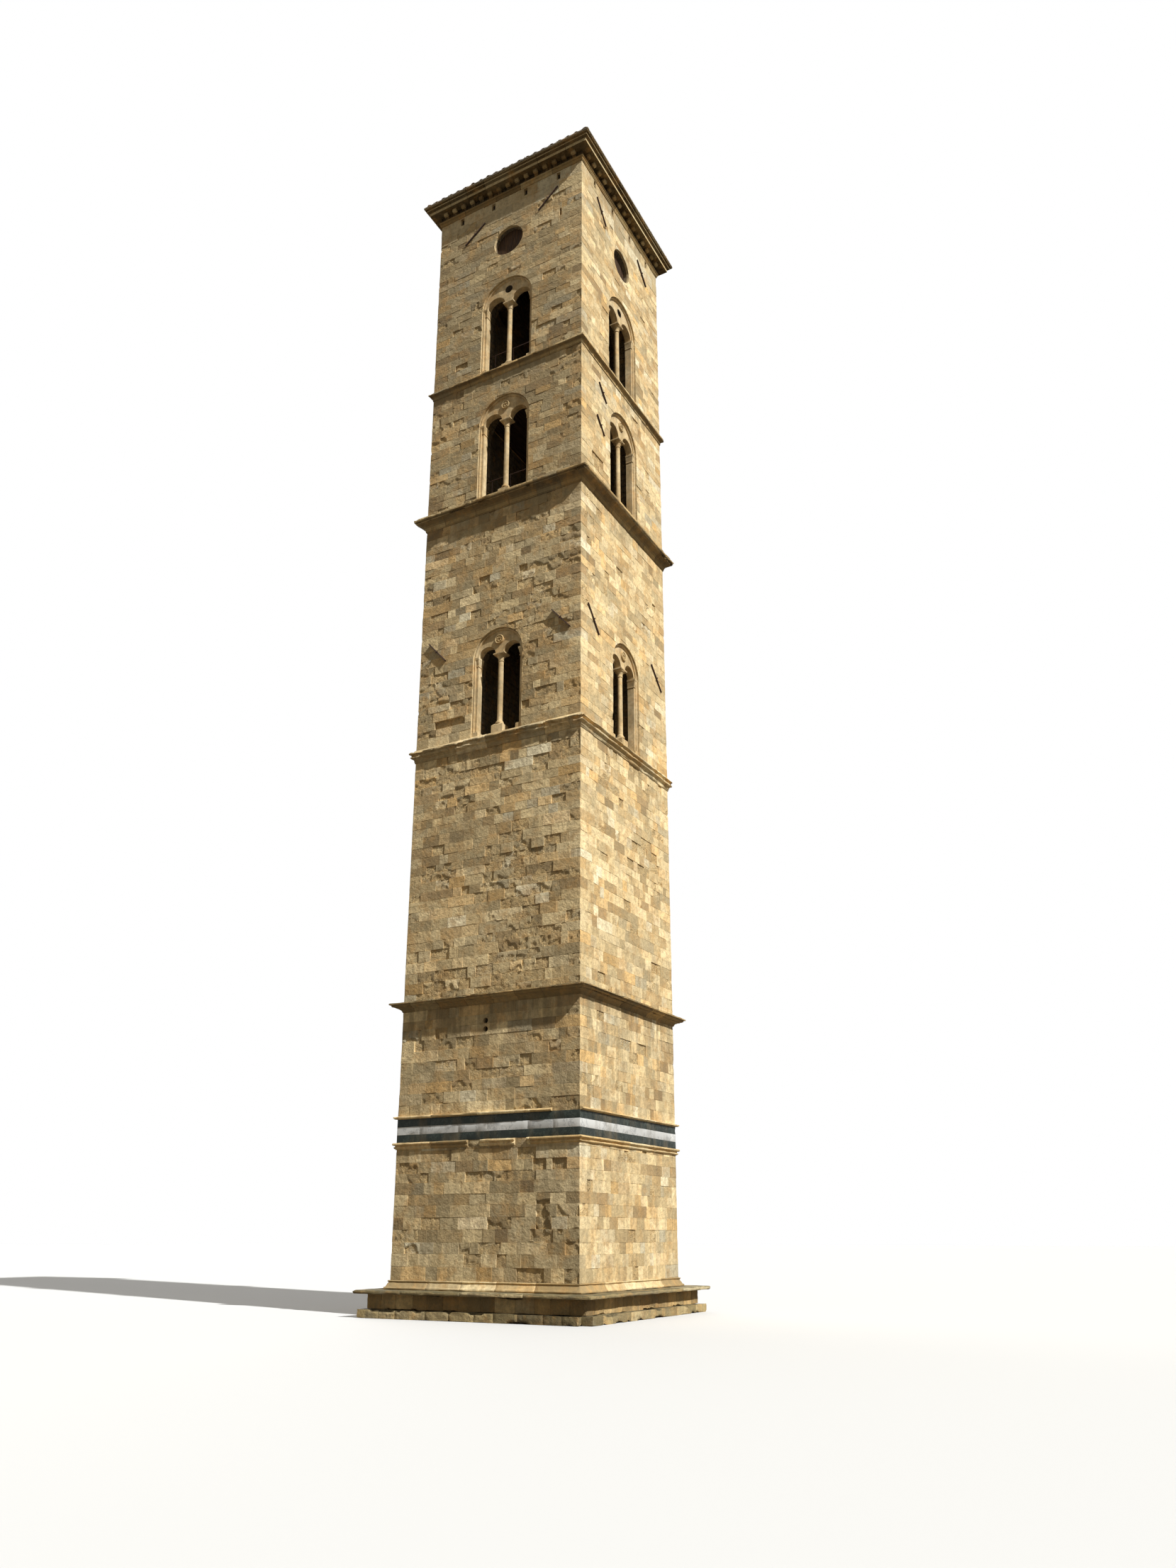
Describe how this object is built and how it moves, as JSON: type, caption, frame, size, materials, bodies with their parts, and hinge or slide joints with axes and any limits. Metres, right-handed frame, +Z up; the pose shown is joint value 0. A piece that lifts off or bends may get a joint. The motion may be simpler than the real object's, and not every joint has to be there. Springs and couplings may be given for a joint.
{
  "type": "stone bell tower",
  "caption": "Tall square stone bell tower with paired arched windows on its upper storeys, string courses, a marble band, a bracketed crown and a low hipped tile roof.",
  "frame": {"origin": "middle of the flat underside of the lowest step, at ground level", "axes": "+Z up, -Y towards the front face, +X towards the right face"},
  "size_m": [7.06, 7.06, 37.89],
  "materials": {
    "wall_stone": "rough squared ashlar",
    "dressed_stone": "smooth dressed stone",
    "weathered_stone": "weathered moulded stone",
    "dark_marble": "honed",
    "white_marble": "honed",
    "old_iron": "rusted wrought iron",
    "dark_timber": "weathered boards",
    "roof_tile": "weathered clay tile"
  },
  "bodies": {
    "root": {"footing_step": "wall_stone", "bench_riser": "wall_stone", "bench_seat": "dressed_stone", "plinth_moulding": "dressed_stone", "band_mouldings": "dressed_stone", "front_wall_1": "wall_stone", "right_wall_1": "wall_stone", "back_wall_1": "wall_stone", "left_wall_1": "wall_stone", "front_wall_2": "wall_stone", "right_wall_2": "wall_stone", "back_wall_2": "wall_stone", "left_wall_2": "wall_stone", "front_wall_3": "wall_stone", "right_wall_3": "wall_stone", "back_wall_3": "wall_stone", "left_wall_3": "wall_stone", "front_wall_4": "wall_stone", "right_wall_4": "wall_stone", "back_wall_4": "wall_stone", "left_wall_4": "wall_stone", "front_wall_5": "wall_stone", "right_wall_5": "wall_stone", "back_wall_5": "wall_stone", "left_wall_5": "wall_stone", "dark_marble_courses": "dark_marble", "white_marble_course": "white_marble", "cornice_1": "weathered_stone", "string_course_2": "weathered_stone", "cornice_3": "weathered_stone", "string_course_4": "weathered_stone", "front_arch_plates": "dressed_stone", "right_arch_plates": "dressed_stone", "back_arch_plates": "dressed_stone", "left_arch_plates": "dressed_stone", "window_jambs": "dressed_stone", "window_columns": "dressed_stone", "window_railings": "old_iron", "oculus_boards": "dark_timber", "timber_floors": "dark_timber", "wall_anchors": "old_iron", "architrave": "weathered_stone", "brackets": "weathered_stone", "crown_cornice": "weathered_stone", "roof_deck": "roof_tile"}
  },
  "joints": []
}
